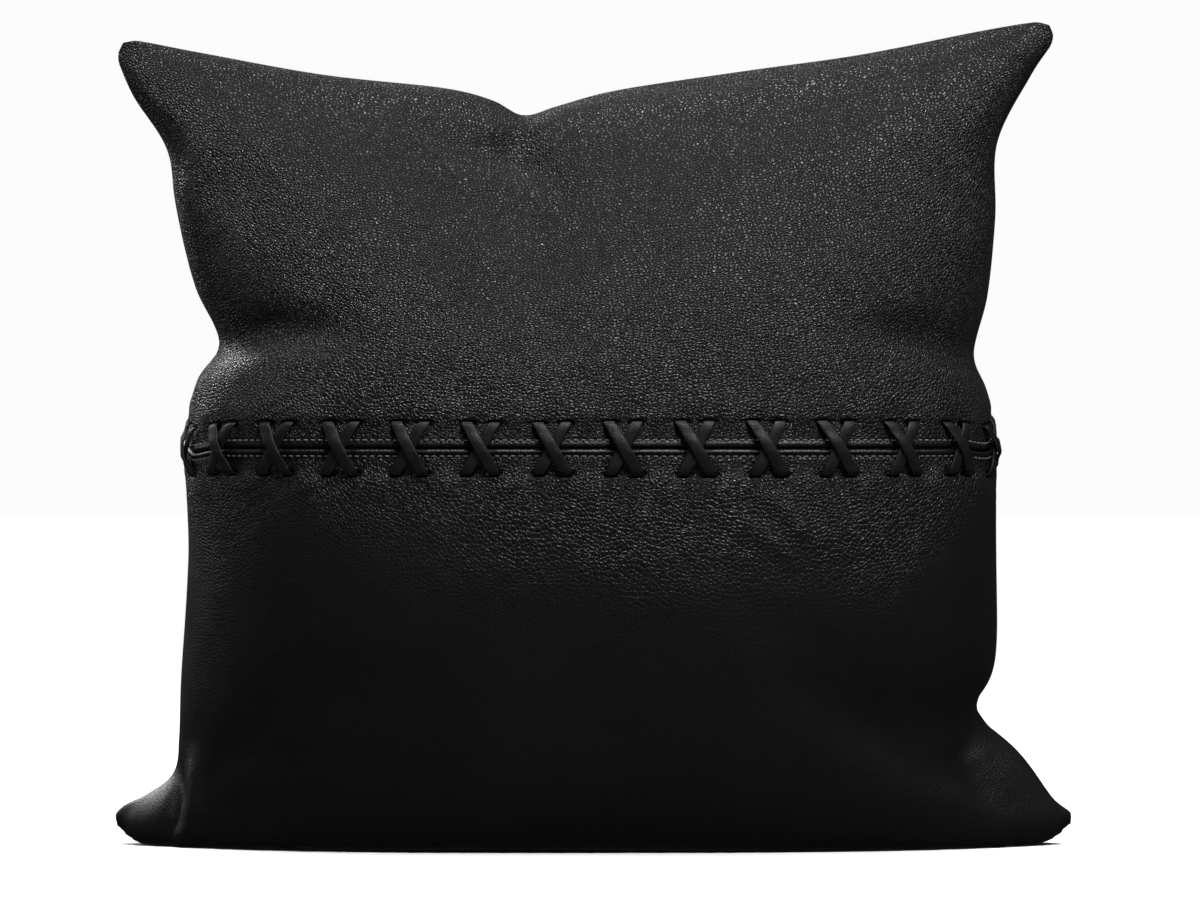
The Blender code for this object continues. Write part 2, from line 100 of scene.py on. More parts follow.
# Lacing
CROSSES = 14
CROSS_PITCH = CUT / CROSSES
CROSS_WIDTH = 0.0142
CROSS_HEIGHT = 0.0275
LACE_WIDTH = 0.0070
LACE_THICK = 0.0015
STITCH_PITCH = 0.0040
STITCH_ROW = 0.0043
STITCH_SHARE = 0.72
THREAD = 0.00045
SLIT_HALF = 0.0037
LACE_LIFT = 0.0013
LACE_CROSSING = 0.0019

# Room that the insert leaves behind the lacing, over the zip, and as a share in the ears
LACE_ROOM = 0.0052
ZIP_ROOM = 0.0115
EAR_ROOM = 0.18


def smooth(low, high, value):
    share = np.clip((value - low) / (high - low), 0.0, 1.0)
    return share * share * (3.0 - 2.0 * share)


def spline(points, count):
    """A smooth line through the points, at evenly spaced lengths."""
    points = np.array(points, float)
    ends = np.vstack([2 * points[0] - points[1], points, 2 * points[-1] - points[-2]])
    line = []
    for k in range(len(points) - 1):
        a, b, c, d = ends[k : k + 4]
        for f in np.linspace(0, 1, 12, endpoint=False):
            bend = (c - a) * f + (2 * a - 5 * b + 4 * c - d) * f**2
            line.append(0.5 * (2 * b + bend + (3 * b - a - 3 * c + d) * f**3))
    line = np.array([*line, points[-1]])
    steps = np.linalg.norm(np.diff(line, axis=0), axis=1)
    run = np.concatenate([[0], np.cumsum(steps)])
    at = np.linspace(0, run[-1], count)
    return np.stack([np.interp(at, run, line[:, k]) for k in range(line.shape[1])], 1)


# Cover: the flat panels, sewn along a seam line and filled


def start_shape(cells):
    """Front and back panels on the seam, bulged to about their stuffed depth."""
    n = 4 * cells + 1
    left = spline(LEFT_SEAM, n)[:, None]
    right = spline(RIGHT_SEAM, n)[:, None]
    top = spline(TOP_SEAM, n)[None]
    bottom = spline(BOTTOM_SEAM, n)[None]
    u, v = np.meshgrid(np.linspace(0, 1, n), np.linspace(0, 1, n))
    a, b = u[..., None], v[..., None]
    flat = (1 - a) * left + a * right + (1 - b) * bottom + b * top
    flat -= (1 - b) * ((1 - a) * left[0] + a * right[0])
    flat -= b * ((1 - a) * left[-1] + a * right[-1])
    s, t = 2 * u - 1, 2 * v - 1
    across = np.sqrt(np.clip(1 - np.abs(s) ** 3, 0, 1))
    down = np.clip((-0.3 - t) / 0.7, 0, 1)
    up = np.clip((t + 0.3) / 1.3, 0, 1)
    full = across * np.sqrt(1 - down**2.6) * (1 - up**2) ** 0.62
    z = flat[..., 1] - BASE_SAG * full * (1 - smooth(-1, -0.4, t))
    fine = np.stack([flat[..., 0], -START_DEPTH * full, np.maximum(z, 0.0)], -1)
    front = even_out(fine, 3)[::4, ::4]
    back = front * (1, -1, 1)
    for grid in (front, back):
        near = np.exp(-(((grid[..., 0] - NOTCH_X) / NOTCH_WIDTH) ** 2))
        grid[..., 1] -= NOTCH_FORWARD * near * smooth(0.80, 1.0, v[::4, ::4])
    return front, back


def even_out(grid, rounds=2):
    """Spaces the points of every row and column evenly along their lengths."""
    for _ in range(rounds):
        for _ in range(2):
            for line in grid:
                steps = np.linalg.norm(np.diff(line, axis=0), axis=1)
                run = np.concatenate([[0], np.cumsum(steps)])
                at = np.linspace(0, run[-1], len(line))
                line[:] = np.stack([np.interp(at, run, line[:, k]) for k in range(3)], 1)
            grid = grid.transpose(1, 0, 2).copy()
    return grid


def quad_faces(index, turned=False):
    quads = [index[:-1, :-1], index[:-1, 1:], index[1:, 1:], index[1:, :-1]]
    quads = np.stack(quads, -1).reshape(-1, 4)
    return quads[:, ::-1] if turned else quads


def fill_cover():
    """Front and back grids of the filled cover, by cloth simulation."""
    front, back = start_shape(SIM_CELLS)
    n = SIM_CELLS + 1
    on_front = np.arange(n * n).reshape(n, n)
    inner = np.zeros((n, n), bool)
    inner[1:-1, 1:-1] = True
    on_back = on_front.copy()
    on_back[inner] = n * n + np.arange(inner.sum())
    points = np.vstack([front.reshape(-1, 3), back[inner]])
    gu, gv = np.meshgrid(np.linspace(-HALF, HALF, n), np.linspace(-HALF, HALF, n))
    cut = np.stack([gu, np.zeros_like(gu), gv], -1)
    cut = np.vstack([cut.reshape(-1, 3), cut[inner]])
    faces = np.vstack([quad_faces(on_front), quad_faces(on_back, True)])

    collection = bpy.context.scene.collection
    mesh = bpy.data.meshes.new("cover_sim")
    mesh.from_pydata(points.tolist(), [], faces.tolist())
    cover = bpy.data.objects.new("cover_sim", mesh)
    collection.objects.link(cover)
    cover.shape_key_add(name="Basis")
    key = cover.shape_key_add(name="cut")
    key.data.foreach_set("co", cut.astype(np.float32).ravel())
    key.value = 0.0
    pins = cover.vertex_groups.new(name="seam")
    pins.add(on_front[~inner].tolist(), 1.0, "REPLACE")

    ground_mesh = bpy.data.meshes.new("ground_sim")
    ground_mesh.from_pydata([(-1, -1, 0), (1, -1, 0), (1, 1, 0), (-1, 1, 0)], [], [(0, 1, 2, 3)])
    ground = bpy.data.objects.new("ground_sim", ground_mesh)
    collection.objects.link(ground)
    ground.modifiers.new("collision", "COLLISION")
    ground.collision.thickness_outer = 0.001

    modifier = cover.modifiers.new("cloth", "CLOTH")
    cloth = modifier.settings
    cloth.quality = 6
    cloth.mass = CLOTH_MASS
    cloth.tension_stiffness = CLOTH_STIFFNESS
    cloth.compression_stiffness = CLOTH_STIFFNESS
    cloth.shear_stiffness = CLOTH_STIFFNESS / 3
    cloth.bending_stiffness = 0.3
    cloth.tension_damping = CLOTH_DAMPING
    cloth.compression_damping = CLOTH_DAMPING
    cloth.shear_damping = CLOTH_DAMPING
    cloth.bending_damping = 1.0
    cloth.rest_shape_key = key
    cloth.vertex_group_mass = "seam"
    cloth.use_pressure = True
    cloth.uniform_pressure_force = FILL_PRESSURE
    cloth.use_pressure_volume = True
    cloth.target_volume = FILL_VOLUME
    cloth.pressure_factor = FILL_FACTOR
    cloth.fluid_density = FILL_DENSITY
    modifier.collision_settings.distance_min = 0.001
    modifier.collision_settings.collision_quality = 1
    modifier.point_cache.frame_start = 1
    modifier.point_cache.frame_end = SIM_FRAMES
    scene = bpy.context.scene
    scene.frame_start = 1
    scene.frame_end = SIM_FRAMES
    for k in range(1, SIM_FRAMES + 1):
        scene.frame_set(k)
    filled = cover.evaluated_get(bpy.context.evaluated_depsgraph_get())
    co = np.zeros(len(points) * 3, np.float32)
    filled.data.vertices.foreach_get("co", co)
    co = co.reshape(-1, 3).astype(float)
    bpy.data.objects.remove(ground)
    bpy.data.objects.remove(cover)
    scene.frame_set(1)
    return co[on_front], co[on_back]


def settle(grid):
    """Takes out the small ripples of the simulation, and lays the base on the floor."""
    grid = grid.copy()
    for _ in range(3):
        around = (grid[:-2, 1:-1] + grid[2:, 1:-1] + grid[1:-1, :-2] + grid[1:-1, 2:]) / 4
        grid[1:-1, 1:-1] += 0.5 * (around - grid[1:-1, 1:-1])
    low = grid[1:-1, 1:-1]
    base = 1 - smooth(0.004, 0.016, low[..., 2])
    low[..., 2] -= base * np.minimum(low[..., 2], 0.004)
    return grid


def level_seam(grid):
    """Lifts the middle of the front until the middle seam runs level."""
    n = len(grid)
    u, v = np.meshgrid(np.linspace(-HALF, HALF, n), np.linspace(-HALF, HALF, n))
    sag = SEAM_Z - grid[n // 2, :, 2]
    fade = (1 - smooth(0.0, 0.22, v)) * smooth(-0.21, -0.02, v) * (1 - smooth(0.20, HALF, abs(u)))
    grid[..., 2] += sag[None] * fade
    return grid


class Panel:
    """A filled panel, read by its flat coordinates. side is -1 on the front, 1 on the back."""

    def __init__(self, grid, side):
        self.side = side
        self.cells = len(grid) - 1
        self.grid = np.pad(grid, ((1, 2), (1, 2), (0, 0)), mode="reflect", reflect_type="odd")

    def raw(self, u, v):
        def weights(place):
            k = np.minimum(place.astype(int), self.cells - 1)
            f = place - k
            parts = [
                (-f + 2 * f**2 - f**3) / 2,
                (2 - 5 * f**2 + 3 * f**3) / 2,
                (f + 4 * f**2 - 3 * f**3) / 2,
                (-(f**2) + f**3) / 2,
            ]
            return k, parts

        i, across = weights(np.clip((u / HALF + 1) / 2, 0, 1) * self.cells)
        j, up = weights(np.clip((v / HALF + 1) / 2, 0, 1) * self.cells)
        total = 0.0
        for a in range(4):
            for b in range(4):
                total = total + (across[a] * up[b])[..., None] * self.grid[j + b, i + a]
        return total

    def edge_way(self, u, v, du, dv):
        """Unit direction along the seam line in x and z."""
        ahead = self.raw(np.clip(u + du, -HALF, HALF), np.clip(v + dv, -HALF, HALF))
        behind = self.raw(np.clip(u - du, -HALF, HALF), np.clip(v - dv, -HALF, HALF))
        x, z = (ahead - behind)[..., 0], (ahead - behind)[..., 2]
        size = np.hypot(x, z) + 1e-9
        return x / size, z / size

    def place(self, u, v):
        """The leather's outer face, with its turned edges and the zip's recess."""
        u, v = np.broadcast_arrays(np.asarray(u, float), np.asarray(v, float))
        cu = np.clip(u, -HALF, HALF)
        cv = np.clip(v, -HALF, HALF)
        over_u, over_v = u - cu, v - cv
        corner = smooth(0.0, 0.016, np.hypot(HALF - abs(cu), HALF - abs(cv)))
        over_u, over_v = over_u * corner, over_v * corner
        past = np.hypot(over_u, over_v)
        edge = np.minimum(HALF - abs(cu), HALF - abs(cv))
        point = self.raw(cu, cv)
        x, reach, z = point[..., 0], self.side * point[..., 1], point[..., 2]
        zip_share = 1 - smooth(ZIP_HALF, ZIP_HALF + ZIP_RUNOUT, abs(x))
        zip_share *= 1 - smooth(0.028, 0.040, cv + HALF)

        rounding = np.sqrt(np.clip(1 - (1 - np.minimum(edge / EDGE_ROUND, 1)) ** 2, 0, 1))
        y = reach + SEAM_PLAY + LEATHER * rounding * (1 - smooth(0.0, 0.03, edge))
        along_x, along_z = self.edge_way(cu, cv, 0.0, 0.002)
        x = x - over_u * along_z
        z = z + over_u * along_x
        along_x, along_z = self.edge_way(cu, cv, 0.002, 0.0)
        x = x + over_v * along_z
        z = z - over_v * along_x * (1 - zip_share)

        rest_y = ZIP_SLOT_HALF + TUCK - past + reach * (1 - (ZIP_SLOT_HALF + TUCK) / 0.030)
        share = zip_share * (1 - smooth(0.024, 0.034, reach))
        y = y + share * (rest_y - y)
        rest_z = RECESS_DEPTH * (1 - smooth(RECESS_IN, RECESS_OUT, y))
        z = z + share * (rest_z - z)
        return np.stack([x, self.side * y, z], -1)

    def frame(self, u, v):
        """Places with their outward normals."""
        step = 0.0015
        here = self.place(u, v)
        along = self.place(u + step, v) - self.place(u - step, v)
        up = self.place(u, v + step) - self.place(u, v - step)
        normal = np.cross(along, up) * -self.side
        normal /= np.linalg.norm(normal, axis=-1, keepdims=True) + 1e-12
        return here, normal


# Relief of the leather, in metres out of its face


def trench(distance, half, depth):
    return -depth * np.exp(-((distance / half) ** 2))


def cross_centres():
    return [(k - (CROSSES - 1) / 2) * CROSS_PITCH for k in range(CROSSES)]


def seam_relief(u, v):
    """Turned edges of the middle seam, the band held by the topstitching, and its rows."""
    e = abs(v)
    relief = 0.0006 * (1 - smooth(STITCH_ROW + 0.0004, STITCH_ROW + 0.0024, e))
    hollow = 0.75 + 0.25 * np.cos(2 * math.pi * u / STITCH_PITCH)
    relief += trench(e - STITCH_ROW, 0.0008, 0.0006) * hollow
    turn = np.clip(1 - e / 0.0010, 0, 1)
    relief -= 0.0024 * turn**1.6
    relief += np.where(v < 0, 0.0010, 0.0003) * np.exp(-(((e - 0.0021) / 0.0011) ** 2))
    relief += trench(e, 0.018, 0.0014)
    between = 0.5 + 0.5 * np.cos(2 * math.pi * u / CROSS_PITCH)
    relief += 0.0011 * between * np.exp(-(((e - 0.017) / 0.008) ** 2))
    return relief


def ripple_relief(u, v):
    """Fine diagonal ripples where the lacing gathers the leather."""
    waves = np.sin(2 * math.pi * (u * 95 - v * 120 + 0.8 * np.sin(u * 60)))
    waves += 0.7 * np.sin(2 * math.pi * (u * 60 + v * 150 + 0.9 * np.sin(u * 45 + 1.0)))
    below = np.exp(-(((v + 0.024) / 0.012) ** 2))
    above = 0.6 * np.exp(-(((v - 0.021) / 0.009) ** 2))
    patches = 0.55 + 0.45 * np.sin(u * 31 + 0.6) * np.sin(u * 77 + 2.0)
    return 0.00022 * waves * (below + above) * patches


def slit_relief(u, v):
    """Slits that the lace is pulled into, with the leather drawn in round them."""
    relief = np.zeros(np.broadcast(u, v).shape)
    for centre in cross_centres():
        for side in (-1, 1):
            for up in (-1, 1):
                du = u - centre - side * CROSS_WIDTH / 2
                dv = v - up * CROSS_HEIGHT / 2
                wide = np.exp(-((du / SLIT_HALF) ** 6))
                relief += trench(dv, 0.0013, 0.0028) * wide
                relief += 0.0009 * wide * np.exp(-(((dv * up - 0.0022) / 0.0012) ** 2))
                relief += trench(np.hypot(du, dv * 1.3), 0.0060, 0.0009)
    return relief


def fold(x, z, line, half, height):
    """A soft ridge, or a valley where height is under 0, along a line of (x, z)."""
    line = np.array(line, float)
    best = np.full(x.shape, 1e9)
    share = np.zeros(x.shape)
    length = np.linalg.norm(np.diff(line, axis=0), axis=1)
    run = np.concatenate([[0], np.cumsum(length)])
    for k in range(len(line) - 1):
        step = line[k + 1] - line[k]
        t = ((x - line[k, 0]) * step[0] + (z - line[k, 1]) * step[1]) / (step @ step)
        t = np.clip(t, 0, 1)
        distance = np.hypot(x - line[k, 0] - t * step[0], z - line[k, 1] - t * step[1])
        nearer = distance < best
        best = np.where(nearer, distance, best)
        share = np.where(nearer, (run[k] + t * length[k]) / run[-1], share)
    taper = np.sin(math.pi * (0.12 + 0.76 * share)) ** 1.2
    return height * taper * np.exp(-((best / half) ** 2))


FRONT_FOLDS = [
    ([(-0.197, 0.362), (-0.203, 0.335), (-0.199, 0.300)], 0.009, 0.0030),
    ([(-0.190, 0.252), (-0.165, 0.262), (-0.130, 0.262)], 0.008, -0.0035),
    ([(0.192, 0.247), (0.170, 0.258), (0.140, 0.262)], 0.008, -0.0030),
    ([(-0.036, 0.372), (-0.040, 0.350), (-0.020, 0.335)], 0.010, -0.0040),
    ([(-0.080, 0.372), (-0.060, 0.362), (-0.020, 0.366)], 0.006, 0.0025),
    ([(0.194, 0.072), (0.188, 0.045), (0.205, 0.022)], 0.008, -0.0040),
    ([(0.205, 0.066), (0.215, 0.045), (0.232, 0.024)], 0.008, 0.0030),
    ([(0.075, 0.184), (0.095, 0.172), (0.112, 0.150)], 0.005, 0.0012),
    ([(0.065, 0.172), (0.085, 0.158), (0.100, 0.146)], 0.005, 0.0010),
    ([(-0.211, 0.042), (-0.2105, 0.024), (-0.2120, 0.014), (-0.2160, 0.005)], 0.0045, -0.0045),
    ([(-0.203, 0.046), (-0.2020, 0.026), (-0.2040, 0.012), (-0.2080, 0.004)], 0.0055, 0.0040),
    ([(-0.180, 0.052), (-0.165, 0.046), (-0.140, 0.050)], 0.010, -0.0015),
]


def fold_relief(point):
    relief = np.zeros(point.shape[:-1])
    for line, half, height in FRONT_FOLDS:
        relief += fold(point[..., 0], point[..., 2], line, half, height)
    return relief


# Meshes


def lines(fine, step):
    """The fine values, with the gaps between them filled at about the step."""
    fine = sorted(fine)
    found = [fine[0]]
    for value in fine[1:]:
        gap = value - found[-1]
        count = max(1, round(gap / step)) if gap > step * 1.2 else 1
        start = found[-1]
        found += [start + gap * k / count for k in range(1, count + 1)]
    return np.array(found)


def edge_values(low):
    inward = [-TUCK, -TUCK / 2, 0.0, 0.0003, 0.0008, 0.0014, 0.0022, 0.0036]
    return [low + d for d in inward] if low < 0 else [low - d for d in inward]


def link(mesh, name, material, body="cover"):
    obj = bpy.data.objects.new(name, mesh)
    bpy.context.scene.collection.objects.link(obj)
    obj.data.materials.append(material)
    mesh.shade_smooth()
    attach(obj, body)
    return obj


def apply_modifiers(obj):
    mesh = bpy.data.meshes.new_from_object(obj.evaluated_get(bpy.context.evaluated_depsgraph_get()))
    obj.modifiers.clear()
    old = obj.data
    obj.data = mesh
    mesh.name = obj.name
    bpy.data.meshes.remove(old)


def grid_mesh(name, points, turned=False):
    index = np.arange(points.shape[0] * points.shape[1]).reshape(points.shape[:2])
    mesh = bpy.data.meshes.new(name)
    mesh.from_pydata(points.reshape(-1, 3).tolist(), [], quad_faces(index, turned).tolist())
    return mesh


def grid_normals(points, side):
    normal = np.cross(np.gradient(points, axis=1), np.gradient(points, axis=0)) * -side
    return normal / (np.linalg.norm(normal, axis=-1, keepdims=True) + 1e-12)


def leather_piece(name, panel, us, vs, material, relief):
    """A cover panel with real thickness, its relief, and its flat coordinates kept on it."""
    u, v = np.meshgrid(us, vs)
    points = panel.place(u, v)
    normals = grid_normals(points, panel.side)
    inside = 1 - smooth(0.0, 0.0015, np.maximum(abs(u), abs(v)) - HALF + 0.0015)
    points = points + normals * (relief(u, v, points) * inside)[..., None]
    points[..., 2] = np.maximum(points[..., 2], 0.0)
    mesh = grid_mesh(name, points, panel.side > 0)
    flat = mesh.attributes.new("flat", "FLOAT_VECTOR", "POINT")
    flat_values = np.stack([u, v, np.zeros_like(u)], -1).astype(np.float32)
    flat.data.foreach_set("vector", flat_values.ravel())
    obj = link(mesh, name, material)
    shell = obj.modifiers.new("thickness", "SOLIDIFY")
    shell.thickness = LEATHER
    shell.offset = -1
    apply_modifiers(obj)
    return obj


def tube_mesh(name, tubes):
    """One mesh of closed tubes, each an array of rings."""
    points = []
    faces = []
    for rings in tubes:
        first = len(points)
        count, sides = rings.shape[:2]
        points += rings.reshape(-1, 3).tolist()
        for k in range(count - 1):
            for s in range(sides):
                a = first + k * sides + s
                b = first + k * sides + (s + 1) % sides
                faces.append((a, b, b + sides, a + sides))
        faces.append(tuple(range(first + sides - 1, first - 1, -1)))
        faces.append(tuple(range(first + (count - 1) * sides, first + count * sides)))
    mesh = bpy.data.meshes.new(name)
    mesh.from_pydata(points, [], faces)
    return mesh


def stitch_rings(panel, centre, row, length):
    """A stitch that dips into the leather at both ends."""
    rings = []
    angles = np.arange(6) * 2 * math.pi / 6
    for share in (-1.0, -0.85, -0.4, 0.0, 0.4, 0.85, 1.0):
        rise = 0.00042 - 0.0012 * share**4
        size = THREAD * (1 - 0.5 * share**6)
        here, normal = panel.frame(centre + share * length / 2, row)
        up = np.array([0.0, 0.0, 1.0])
        up = up - normal * (up @ normal)
        up /= np.linalg.norm(up)
        base = here + normal * (seam_relief(np.array(centre), np.array(row)) + rise)
        rings.append([base + size * (math.cos(a) * normal + math.sin(a) * up) for a in angles])
    return np.array(rings)


def topstitching(panel, row):
    count = int((CUT - 0.012) / STITCH_PITCH)
    tubes = []
    for k in range(count):
        centre = (k - (count - 1) / 2) * STITCH_PITCH
        tubes.append(stitch_rings(panel, centre, row, STITCH_PITCH * STITCH_SHARE))
    return tubes


LACE_SHARES = (1.0, 1.0, 0.97, 0.85, 0.68, 0.5, 0.3, 0.1)
LACE_SHARES += tuple(-share for share in reversed(LACE_SHARES))


def lace_path(over):
    """Centre line of one lace as (u, v, out, width share), cross after cross."""
    lean = -1 if over else 1
    first = 1 if over else -1
    inside = -0.0046 if over else -0.0028
    path = []
    for centre in cross_centres():
        for share in LACE_SHARES:
            level = first * share
            rise = LACE_LIFT - 0.0016 * abs(share) ** 10
            if over:
                rise += LACE_CROSSING * (1 - smooth(0.30, 0.62, abs(share)))
            u = centre + lean * level * CROSS_WIDTH / 2
            path.append([u, level * CROSS_HEIGHT / 2, rise, 1 - 0.16 * share**8])
        path[-len(LACE_SHARES)][2] = inside
        path[-1][2] = inside
    return np.array(path, float)


def lace_rings(panel, over):
    """The flat strap round its centre line, following the leather across its width."""
    path = lace_path(over)
    sides = 12
    rings = []
    v_out = path[:, 1:3]
    for k in range(len(path)):
        ahead = v_out[min(k + 1, len(path) - 1)] - v_out[k]
        behind = v_out[k] - v_out[max(k - 1, 0)]
        unit = [w / (np.linalg.norm(w) + 1e-9) for w in (ahead, behind)]
        way = unit[0] + unit[1]
        if np.linalg.norm(way) < 1e-6:
            way = unit[0]
        way = way / np.linalg.norm(way)
        across = np.array([-way[1], way[0]])
        if across[1] < 0 and abs(way[0]) > 0.5:
            across = -across
        ring = []
        half = LACE_WIDTH / 2 * path[k, 3]
        for s in range(sides):
            angle = 2 * math.pi * s / sides
            a = math.copysign(abs(math.cos(angle)) ** 0.45, math.cos(angle)) * half
            b = math.copysign(abs(math.sin(angle)) ** 0.8, math.sin(angle)) * LACE_THICK / 2
            here, normal = panel.frame(path[k, 0] + a, path[k, 1] + across[0] * b)
            ring.append(here + normal * (path[k, 2] + across[1] * b))
        rings.append(ring)
    return np.array(rings)


def closed_cushion(name, front, back, margin, inset, material):
    """A closed crowned form inside the cover, clear of the lacing and the zip."""
    count = 64
    reach = np.sin(np.linspace(-1.35, 1.35, count)) / math.sin(1.35) * (HALF - margin)
    u, v = np.meshgrid(reach, reach)
    short_u, short_v = EAR_ROOM * (v / HALF) ** 8, EAR_ROOM * (u / HALF) ** 8
    u, v = u * (1 - short_u), v * (1 - short_v)
    sides = []
    for panel in (front, back):
        here, normal = panel.frame(u, v)
        belt = LACE_ROOM * (1 - smooth(0.034, 0.055, abs(v))) * (panel.side < 0)
        here = here - normal * (inset + belt)[..., None]
        x, y = abs(here[..., 0]), abs(here[..., 1])
        over_zip = (1 - smooth(0.215, 0.235, x)) * (1 - smooth(0.016, 0.030, y))
        here[..., 2] = np.maximum(here[..., 2], inset + ZIP_ROOM * over_zip)
        sides.append(here)
    rim = np.ones((count, count), bool)
    rim[1:-1, 1:-1] = False
    middle = (sides[0] + sides[1]) / 2
    sides[0][rim] = middle[rim]
    on_front = np.arange(count * count).reshape(count, count)
    on_back = on_front.copy()
    on_back[~rim] = count * count + np.arange((~rim).sum())
    points = np.vstack([sides[0].reshape(-1, 3), sides[1][~rim]])
    faces = np.vstack([quad_faces(on_front), quad_faces(on_back, True)])
    mesh = bpy.data.meshes.new(name)
    mesh.from_pydata(points.tolist(), [], faces.tolist())
    obj = link(mesh, name, material)
    return obj


# Materials


class Nodes:
    """A material's node tree, with short calls to add to it."""

    def __init__(self, name):
        self.material = bpy.data.materials.new(name)
        self.material.use_nodes = True
        self.tree = self.material.node_tree
        self.shader = self.tree.nodes["Principled BSDF"]

    def add(self, kind, values=(), **settings):
        node = self.tree.nodes.new(kind)
        for key, value in settings.items():
            setattr(node, key, value)
        for key, value in dict(values).items():
            if isinstance(value, bpy.types.NodeSocket):
                self.tree.links.new(value, node.inputs[key])
            else:
                node.inputs[key].default_value = value
        return node

    def math(self, operation, a, b=0.0):
        return self.add("ShaderNodeMath", {0: a, 1: b}, operation=operation).outputs[0]

    def vector(self, operation, a, b):
        node = self.add("ShaderNodeVectorMath", {0: a, 1: b}, operation=operation)
        return node.outputs["Vector"]

    def scaled(self, vector, factor):
        node = self.add("ShaderNodeVectorMath", {0: vector, "Scale": factor}, operation="SCALE")
        return node.outputs["Vector"]

    def noise(self, vector, scale, detail=2.0, roughness=0.5):
        values = {"Vector": vector, "Scale": scale, "Detail": detail, "Roughness": roughness}
        return self.add("ShaderNodeTexNoise", values)

    def spread(self, value, low, high, to_low, to_high):
        values = {"Value": value, 1: low, 2: high, 3: to_low, 4: to_high}
        return self.add("ShaderNodeMapRange", values, interpolation_type="SMOOTHSTEP").outputs[0]

    def mix(self, factor, a, b):
        node = self.add("ShaderNodeMix", {0: factor, 6: a, 7: b}, data_type="RGBA")
        return node.outputs[2]

    def bump(self, height, distance):
        values = {"Height": height, "Distance": distance, "Strength": 1.0}
        return self.add("ShaderNodeBump", values).outputs["Normal"]

    def finish(self, **inputs):
        for key, value in inputs.items():
            socket = self.shader.inputs[key.replace("_", " ")]
            if isinstance(value, bpy.types.NodeSocket):
                self.tree.links.new(value, socket)
            else:
                socket.default_value = value
        return self.material


def grey(value, blue=0.0):
    return (value, value, value + blue, 1.0)


PEBBLES_PER_METRE = 490.0
GRAIN_DEPTH = 0.00050


def leather_material(name, dark, light, rough, grain_low, grain_high, grain_at_seam):
    """Pebbled leather on the panel's flat coordinates.

    The grain rises from low to high up the panel, and is flattened along the middle seam.
    """
    n = Nodes(name)
    flat = n.add("ShaderNodeAttribute", attribute_name="flat").outputs["Vector"]
    slow = n.noise(flat, 22.0, 2.0).outputs["Color"]
    bent = n.vector("ADD", flat, n.scaled(n.vector("SUBTRACT", slow, (0.5, 0.5, 0.5)), 0.010))
    quick = n.noise(flat, 230.0, 1.0).outputs["Color"]
    bent = n.vector("ADD", bent, n.scaled(n.vector("SUBTRACT", quick, (0.5, 0.5, 0.5)), 0.0016))

    def cells(scale, wide):
        values = {"Vector": bent, "Scale": scale, "Randomness": 1.0}
        settings = {"feature": "DISTANCE_TO_EDGE", "voronoi_dimensions": "2D"}
        node = n.add("ShaderNodeTexVoronoi", values, **settings)
        return n.spread(node.outputs["Distance"], 0.0, wide, 0.0, 1.0)

    pebbles = cells(PEBBLES_PER_METRE, 0.34)
    small = cells(1050.0, 0.35)
    fine = n.noise(flat, 2600.0, 2.0).outputs[0]
    height = n.math("ADD", n.math("MULTIPLY", pebbles, 0.80), n.math("MULTIPLY", small, 0.20))
    height = n.math("ADD", height, n.math("MULTIPLY", fine, 0.06))
    up = n.add("ShaderNodeSeparateXYZ", {0: flat}).outputs[1]
    patch = n.noise(flat, 9.0, 3.0).outputs[0]
    level = n.math("ADD", up, n.math("MULTIPLY", n.math("SUBTRACT", patch, 0.5), 0.12))
    grain = n.spread(level, -0.085, 0.010, grain_low, grain_high)
    band = n.spread(n.math("ABSOLUTE", up), 0.0046, 0.0066, grain_at_seam, 1.0)
    grain = n.math("MULTIPLY", grain, band)
    broad = n.noise(flat, 70.0, 3.0).outputs[0]
    height = n.math("ADD", n.math("MULTIPLY", height, grain), n.math("MULTIPLY", broad, 0.6))
    normal = n.bump(height, GRAIN_DEPTH)
    # Colour runs from dark in the pebble valleys to light on the pebble tops: the darker valleys
    # are painted shade in the hollows of the grain, and the lighter tops are wear.
    colour = n.mix(n.math("MULTIPLY", pebbles, pebbles), grey(dark), grey(light, 0.0002))
    patchy = n.spread(patch, 0.3, 0.7, 0.04, -0.04)
    worn = n.math("ADD", n.spread(grain, 0.0, 1.0, rough + 0.18, rough), patchy)
    low = n.math("POWER", n.math("SUBTRACT", 1.0, pebbles), 1.3)
    valley = n.math("MULTIPLY", low, n.math("MULTIPLY", grain, 0.65))
    return n.finish(
        Base_Color=colour,
        Roughness=n.math("ADD", worn, valley),
        Normal=normal,
        Specular_IOR_Level=0.30,
    )


def lace_material():
    n = Nodes("lace_leather_look")
    place = n.add("ShaderNodeTexCoord").outputs["Object"]
    grain = n.noise(place, 900.0, 3.0, 0.6).outputs[0]
    streak = n.noise(n.vector("MULTIPLY", place, (1.0, 1.0, 0.35)), 380.0, 2.0).outputs[0]
    height = n.math("ADD", n.math("MULTIPLY", grain, 0.6), n.math("MULTIPLY", streak, 0.6))
    colour = n.mix(grain, grey(0.0025), grey(0.0050))
    rough = n.spread(streak, 0.3, 0.7, 0.46, 0.60)
    return n.finish(
        Base_Color=colour, Roughness=rough, Normal=n.bump(height, 0.0004), Specular_IOR_Level=0.14
    )


def woven_material(name, dark, light, threads, rough):
    """A plain weave with about this many threads in a metre."""
    n = Nodes(name)
    place = n.add("ShaderNodeTexCoord").outputs["Object"]
    x = n.add("ShaderNodeSeparateXYZ", {0: n.scaled(place, threads * math.pi)})
    warp = n.math("ABSOLUTE", n.math("SINE", x.outputs[0]))
    weft = n.math("ABSOLUTE", n.math("SINE", n.math("ADD", x.outputs[2], x.outputs[1])))
    weave = n.math("MULTIPLY", warp, weft)
    slub = n.noise(place, 120.0, 3.0).outputs[0]
    colour = n.mix(n.math("MULTIPLY", n.math("ADD", weave, slub), 0.5), dark, light)
    normal = n.bump(weave, 0.0003)
    return n.finish(Base_Color=colour, Roughness=rough, Normal=normal, Sheen_Weight=0.2)


